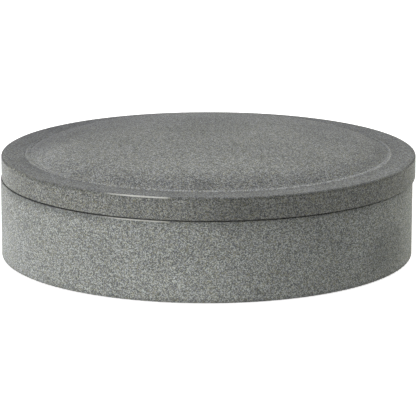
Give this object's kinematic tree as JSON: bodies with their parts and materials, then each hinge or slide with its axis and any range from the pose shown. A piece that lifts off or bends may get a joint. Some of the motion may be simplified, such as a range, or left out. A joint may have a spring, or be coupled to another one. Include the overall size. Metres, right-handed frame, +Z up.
{
  "type": "ink stick and stone box",
  "caption": "Low round box turned from grey stone, with a lift-off lid, a slate inkstone and an ink stick lying on felt inside.",
  "frame": {"origin": "centre of the underside of the base felt, on the axis of the box body", "axes": "+Z up along the axis of the box body, -Y towards the front, +X to the right, towards the ink well of the inkstone"},
  "size_m": [0.2004, 0.2, 0.0593],
  "materials": {
    "turned_stone": "fine-turned, honed, unpolished",
    "slate": "honed, fine-grained",
    "ink": "moulded, dull sheen",
    "felt": "pressed wool felt"
  },
  "bodies": {
    "box": {"box_body": "turned_stone", "felt_liner": "felt", "base_felt": "felt"},
    "lid": {"lid": "turned_stone"},
    "ink_stick": {"ink_stick": "ink"},
    "inkstone": {"inkstone": "slate"}
  },
  "joints": [
    {"name": "lid_lift", "type": "slide", "parent": "box", "child": "lid", "axis": [0, 0, 1], "range_m": [0, 0.12]},
    {"name": "ink_stick_lift", "type": "slide", "parent": "box", "child": "ink_stick", "axis": [0, 0, 1], "range_m": [0, 0.06]},
    {"name": "inkstone_lift", "type": "slide", "parent": "box", "child": "inkstone", "axis": [0, 0, 1], "range_m": [0, 0.03]}
  ],
  "couplings": [
    {"joint": "ink_stick_lift", "follows": "lid_lift", "ratio": 0.5},
    {"joint": "inkstone_lift", "follows": "lid_lift", "ratio": 0.25}
  ]
}
